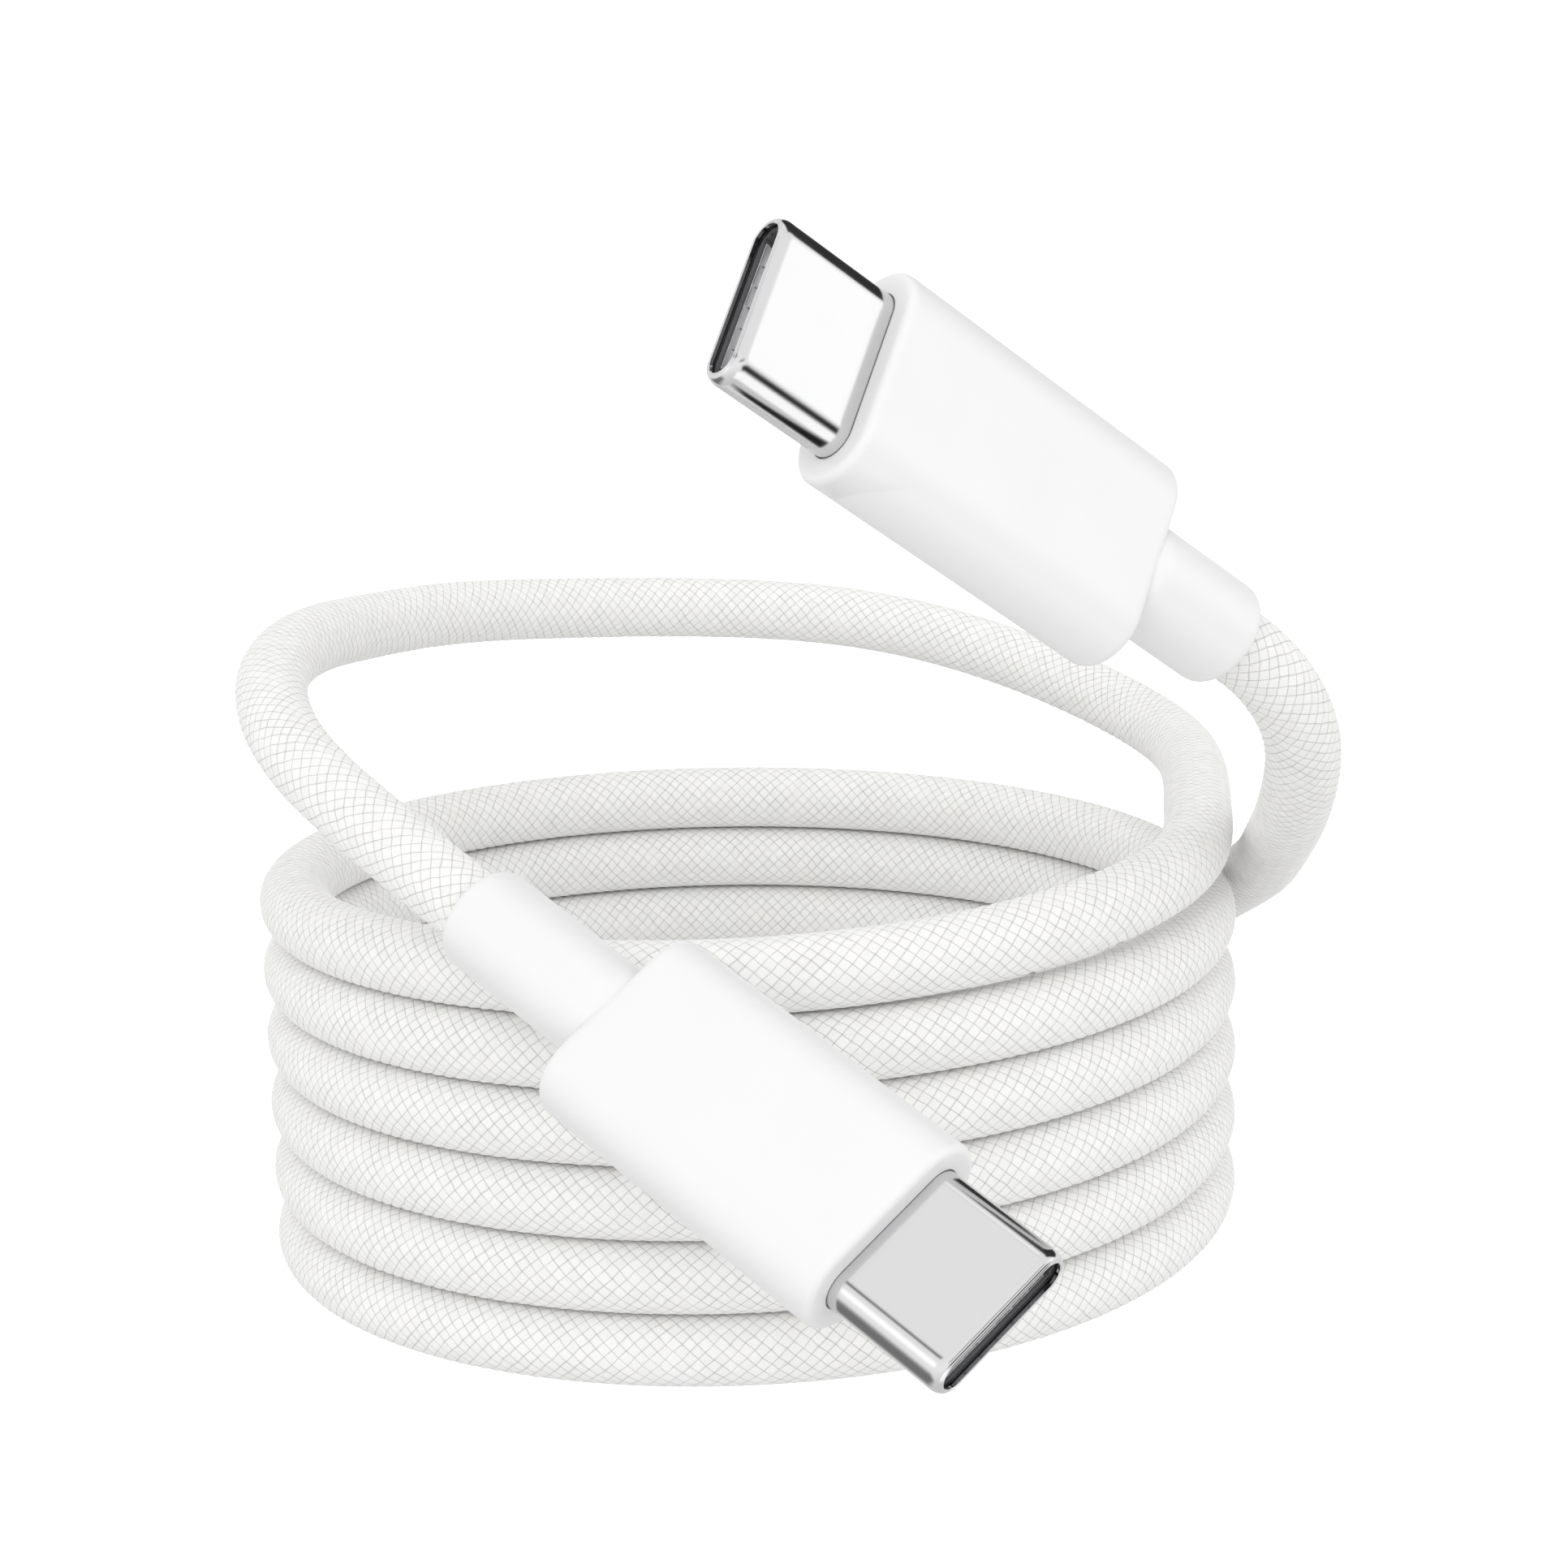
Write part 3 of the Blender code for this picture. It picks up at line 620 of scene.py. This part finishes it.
springs = {
    "contactPitch": 0.5, "contactWidth": 0.25, "contactThick": 0.12,
    "contactPath": [(-2.2, 0.41), (-1.15, 0.41), (-0.9, 0.385), (-0.6, 0.36), (1.2, 0.36), (2.8, 0.36),
                    (3.1, 0.33), (3.4, 0.275), (3.6, 0.26), (3.8, 0.26), (4.0, 0.29), (4.2, 0.36)],
    "topPlaces": (1, 4, 5, 6, 7, 9, 12), "bottomPlaces": (1, 4, 5, 9, 12), "middlePlace": 6.5,
    "tabPitch": 1.03, "tabWidth": 0.97, "tabThick": 0.1, "tabs": 6,
    "tabPath": [(4.6, 0.61), (4.9, 0.61), (5.1, 0.60), (5.25, 0.57), (5.4, 0.55), (5.55, 0.55),
                (5.7, 0.57), (5.85, 0.60), (5.95, 0.61), (6.1, 0.61)],
    "bars": ((4.6, 4.82), (5.94, 6.1)), "barLevel": 0.61, "barWidth": 6.2,
    "chamfer": 0.02,
}


def stripMesh(name, path, width, thick, material):
    # a bar swept along a path in the x-z plane, its long edges eased
    ease = springs["chamfer"]
    half, deep = width / 2.0, thick / 2.0
    section = [(-half, -deep + ease), (-half + ease, -deep), (half - ease, -deep), (half, -deep + ease),
               (half, deep - ease), (half - ease, deep), (-half + ease, deep), (-half, deep - ease)]
    vertices, faces = [], []
    for i, (x, z) in enumerate(path):
        before, after = path[max(0, i - 1)], path[min(len(path) - 1, i + 1)]
        run, climb = after[0] - before[0], after[1] - before[1]
        size = math.hypot(run, climb)
        for y, lift in section:
            vertices.append((x - lift * climb / size, y, z + lift * run / size))
    count = len(section)
    for i in range(len(path) - 1):
        for k in range(count):
            n = (k + 1) % count
            faces.append((i * count + k, i * count + n, (i + 1) * count + n, (i + 1) * count + k))
    faces.append(tuple(reversed(range(count))))
    faces.append(tuple(range((len(path) - 1) * count, len(path) * count)))
    return meshObject(name, vertices, faces, material)


def fingerRowTree():
    # one finger on each point of a row; the points' y counts places, and Pitch turns places into millimetres
    tree = bpy.data.node_groups.new("fingerRow", "GeometryNodeTree")
    sockets = {}
    for label, kind in (("Places", "Geometry"), ("Finger", "Object"), ("Pitch", "Float"),
                        ("Finish", "Material")):
        socket = tree.interface.new_socket(label, in_out="INPUT", socket_type="NodeSocket" + kind)
        sockets[label] = socket.identifier
    tree.interface.new_socket("Row", in_out="OUTPUT", socket_type="NodeSocketGeometry")
    given = addNode(tree, "NodeGroupInput")
    place = addNode(tree, "GeometryNodeInputPosition").outputs[0]
    stretch = addNode(tree, "ShaderNodeCombineXYZ", {0: 1.0, 1: given.outputs["Pitch"], 2: 1.0}).outputs[0]
    spread = addNode(tree, "ShaderNodeVectorMath", {0: place, 1: stretch}, operation="MULTIPLY").outputs[0]
    points = addNode(tree, "GeometryNodeSetPosition", {0: given.outputs["Places"], "Position": spread})
    finger = addNode(tree, "GeometryNodeObjectInfo", {"Object": given.outputs["Finger"], "As Instance": True})
    row = addNode(tree, "GeometryNodeInstanceOnPoints", {"Points": points.outputs[0],
                                                         "Instance": finger.outputs["Geometry"]})
    solid = addNode(tree, "GeometryNodeRealizeInstances", {0: row.outputs[0]})
    finished = addNode(tree, "GeometryNodeSetMaterial",
                       {0: solid.outputs[0], "Material": given.outputs["Finish"]})
    leaving = addNode(tree, "NodeGroupOutput")
    tree.links.new(finished.outputs[0], leaving.inputs[0])
    return tree, sockets


rowTree, rowSockets = fingerRowTree()


def fingerRow(name, places, pitch, finger, material):
    points = meshObject(name, [(0.0, float(y), 0.0) for y in places], [], material)
    grow = points.modifiers.new("row", "NODES")
    grow.node_group = rowTree
    grow[rowSockets["Finger"]] = finger
    grow[rowSockets["Pitch"]] = pitch
    grow[rowSockets["Finish"]] = material
    graph = bpy.context.evaluated_depsgraph_get()
    mesh = bpy.data.meshes.new_from_object(points.evaluated_get(graph))
    points.modifiers.remove(grow)
    points.data = mesh
    bpy.data.objects.remove(finger)
    return points


def seat(thing, place, side):
    # turns a row made for the upper side over to its own side, then puts it in its plug
    flip = Matrix.Identity(4) if side > 0.0 else Matrix.Rotation(math.pi, 4, "X")
    thing.data.transform(place @ flip)
    turnOut(thing.data)
    thing.data.shade_smooth()
    thing.data.set_sharp_from_angle(angle=math.radians(50.0))


def makeContacts(end, place, row, side, material):
    places = [side * (p - springs["middlePlace"]) for p in springs[row + "Places"]]
    finger = stripMesh("finger", springs["contactPath"], springs["contactWidth"], springs["contactThick"],
                       material)
    name = "contactRow_" + row + "_" + end
    piece = fingerRow(name, places, springs["contactPitch"], finger, material)
    seat(piece, place, side)
    nodes = [n for n in frame["nodes"] if n.startswith("contact_" + row) and n.endswith("_" + end)]
    finishPiece(piece, "contacts_" + row + "_" + end, "contact_gold", *nodes)


def makeSpringPlate(end, place, row, side, material):
    count = springs["tabs"]
    tab = stripMesh("tab", springs["tabPath"], springs["tabWidth"], springs["tabThick"], material)
    name = "springPlate_" + row + "_" + end
    piece = fingerRow(name, [k - (count - 1) / 2.0 for k in range(count)], springs["tabPitch"], tab, material)
    joined = bmesh.new()
    joined.from_mesh(piece.data)
    for start, stop in springs["bars"]:
        level = springs["barLevel"]
        bar = stripMesh("bar", [(start, level), (stop, level)], springs["barWidth"], springs["tabThick"],
                        material)
        joined.from_mesh(bar.data)
        bpy.data.objects.remove(bar)
    joined.to_mesh(piece.data)
    joined.free()
    seat(piece, place, side)
    finishPiece(piece, "cable", "spring_steel", "emi_spring_" + row + "_" + end)


# gold plate: warm and bright; tinned plate: pale and dull
goldPlate = plainFinish("goldPlate", "#d9b065", 1.0, 0.22, 6000.0, 0.000001)
springPlate = plainFinish("tinnedSpringPlate", "#f0f0f2", 0.3, 0.5, 6000.0, 0.000001)
for end, place in plugs.items():
    for row, side in (("top", 1.0), ("bottom", -1.0)):
        makeContacts(end, place, row, side, goldPlate)
        makeSpringPlate(end, place, row, side, springPlate)
print("springs made")


# ---- floor, light and view ----

studio = {
    "up": 0.95, "level": 1.02, "down": 0.74,   # how bright the surround is overhead, level and underfoot
    "front": 0.10,                             # how much brighter it is in front than behind
    "floorGlow": 0.75, "backdrop": 1.05,
    "keyPower": 0.5, "keySize": 0.4, "keyPlace": (-0.20, -0.45, 0.40),
    "fillPower": 0.35, "fillSize": 0.5, "fillPlace": (0.60, -0.35, 0.22),
}

# cards that only the gloss sees, each aimed at one plug: compass angle from +X, angle up, width, height
# and softness of the edge in degrees, distance in millimetres, brightness
cards = {
    "flatCardA": ("a", -139.0, 70.0, 60.0, 42.0, 6.0, 800.0, 1.03),
    "topCardA": ("a", 40.0, 84.0, 18.0, 12.0, 5.0, 800.0, 1.4),
    "backFlag": ("a", 46.0, 44.0, 72.0, 62.0, 5.0, 800.0, 0.03),
    "leftSoftFlag": ("a", -143.0, 54.0, 46.0, 17.0, 8.0, 780.0, 0.12),
    "leftCard": ("a", -154.0, 20.0, 44.0, 34.0, 8.0, 800.0, 1.45),
    "leftLowFlag": ("a", 171.0, -34.0, 80.0, 60.0, 12.0, 800.0, 0.22),
    "frontFlag": ("a", -53.0, 20.0, 40.0, 18.0, 7.0, 800.0, 0.35),
    "rightCard": ("b", -8.0, 12.0, 34.0, 30.0, 5.0, 800.0, 1.38),
    "rightLowFlag": ("b", -31.0, -15.0, 50.0, 34.0, 7.0, 780.0, 0.02),
    "lowBounce": ("b", -45.0, -45.0, 60.0, 44.0, 6.0, 800.0, 1.35),
    "underFlag": ("b", -67.0, -76.0, 70.0, 24.0, 4.0, 7.0, 0.02),
}


def makeFloor():
    half = 6.0
    material, _, shader = newMaterial("paperSweep", "#f4f4f4", 0.0, 0.9)
    shader.inputs["Emission Color"].default_value = (1.0, 1.0, 1.0, 1.0)
    shader.inputs["Emission Strength"].default_value = studio["floorGlow"]
    corners = [(-half, -half, 0.0), (half, -half, 0.0), (half, half, 0.0), (-half, half, 0.0)]
    floor = meshObject("floorSheet", [(x, y, -0.00002) for x, y, z in corners], [(0, 1, 2, 3)], material)
    floor.visible_diffuse = False
    floor.visible_glossy = False


def makeSurround():
    # a white tent, brightest at eye level in front, dimmer overhead, behind and underfoot
    world = bpy.data.worlds.new("studio")
    world.use_nodes = True
    tree = world.node_tree
    background = tree.nodes["Background"]
    place = addNode(tree, "ShaderNodeTexCoord")
    parts = addNode(tree, "ShaderNodeSeparateXYZ", {0: place.outputs["Generated"]})
    height = parts.outputs["Z"]
    upper = addNode(tree, "ShaderNodeMapRange", {0: height, 3: studio["level"], 4: studio["up"]}).outputs[0]
    lower = addNode(tree, "ShaderNodeMapRange", {0: height, 1: -1.0, 2: 0.0, 3: studio["down"],
                                                 4: studio["level"]}).outputs[0]
    least = addNode(tree, "ShaderNodeMath", {0: upper, 1: lower}, operation="MINIMUM").outputs[0]
    facing = addNode(tree, "ShaderNodeMapRange", {0: parts.outputs["Y"], 1: -1.0, 2: 1.0,
                                                  3: 1.0 + studio["front"], 4: 1.0 - studio["front"]}).outputs[0]
    glow = addNode(tree, "ShaderNodeMath", {0: least, 1: facing}, operation="MULTIPLY").outputs[0]
    seen = addNode(tree, "ShaderNodeLightPath").outputs["Is Camera Ray"]   # the backdrop itself is plain white
    shown = addNode(tree, "ShaderNodeMix", {0: seen, 2: glow, 3: studio["backdrop"]}).outputs[0]
    tree.links.new(shown, background.inputs["Color"])
    bpy.context.scene.world = world


def makeLamp(name):
    # a soft disk aimed at the coil
    data = bpy.data.lights.new(name, "AREA")
    data.shape = "DISK"
    data.size = studio[name + "Size"]
    data.energy = studio[name + "Power"]
    lamp = bpy.data.objects.new(name, data)
    lamp.location = studio[name + "Place"]
    lamp.rotation_euler = (Vector((0.0, 0.0, 0.02)) - lamp.location).to_track_quat("-Z", "Y").to_euler()
    lamp.visible_glossy = False
    bpy.context.scene.collection.objects.link(lamp)


def makeCard(name, end, compass, lift, wide, high, soft, reach, bright):
    material, tree, shader = newMaterial(name, "#000000", 0.0, 1.0)
    uv = addNode(tree, "ShaderNodeUVMap", uv_map="card")
    parts = addNode(tree, "ShaderNodeSeparateXYZ", {0: uv.outputs["UV"]})
    masks = []
    for axis, size in (("X", wide), ("Y", high)):
        fromEdge = addNode(tree, "ShaderNodeMath", {0: parts.outputs[axis], 1: 0.5},
                           operation="PINGPONG").outputs[0]
        masks.append(addNode(tree, "ShaderNodeMapRange", {0: fromEdge, 2: min(0.5, 2.0 * soft / size)},
                             interpolation_type="SMOOTHSTEP").outputs[0])
    mask = addNode(tree, "ShaderNodeMath", {0: masks[0], 1: masks[1]}, operation="MULTIPLY").outputs[0]
    clear = addNode(tree, "ShaderNodeBsdfTransparent").outputs[0]
    lit = addNode(tree, "ShaderNodeEmission", {"Strength": bright}).outputs[0]
    mixed = addNode(tree, "ShaderNodeMixShader", {0: mask, 1: clear, 2: lit}).outputs[0]
    tree.links.new(mixed, tree.nodes["Material Output"].inputs["Surface"])
    tree.nodes.remove(shader)
    compass, lift = math.radians(compass), math.radians(lift)
    out = Vector((math.cos(lift) * math.cos(compass), math.cos(lift) * math.sin(compass), math.sin(lift)))
    across = Vector((-math.sin(compass), math.cos(compass), 0.0))
    upward = out.cross(across)
    halfWide = math.tan(math.radians(wide / 2.0))
    halfHigh = math.tan(math.radians(high / 2.0))
    centre = plugs[end] @ Vector((plug["shellNose"] / 2.0, 0.0, 0.0))
    corners = []
    for a, b in ((-1, -1), (1, -1), (1, 1), (-1, 1)):
        corners.append(centre + (out + across * a * halfWide + upward * b * halfHigh) * reach * mm)
    card = meshObject(name, corners, [(0, 1, 2, 3)], material)
    layer = card.data.uv_layers.new(name="card")
    for corner, value in enumerate(((0.0, 0.0), (1.0, 0.0), (1.0, 1.0), (0.0, 1.0))):
        layer.data[corner].uv = value
    card.visible_camera = False
    card.visible_diffuse = False
    card.visible_shadow = False
    card.visible_transmission = False


makeFloor()
makeSurround()
makeLamp("key")
makeLamp("fill")
for name, sizes in cards.items():
    makeCard(name, *sizes)
bpy.context.scene.view_settings.view_transform = "Standard"
print("studio made")
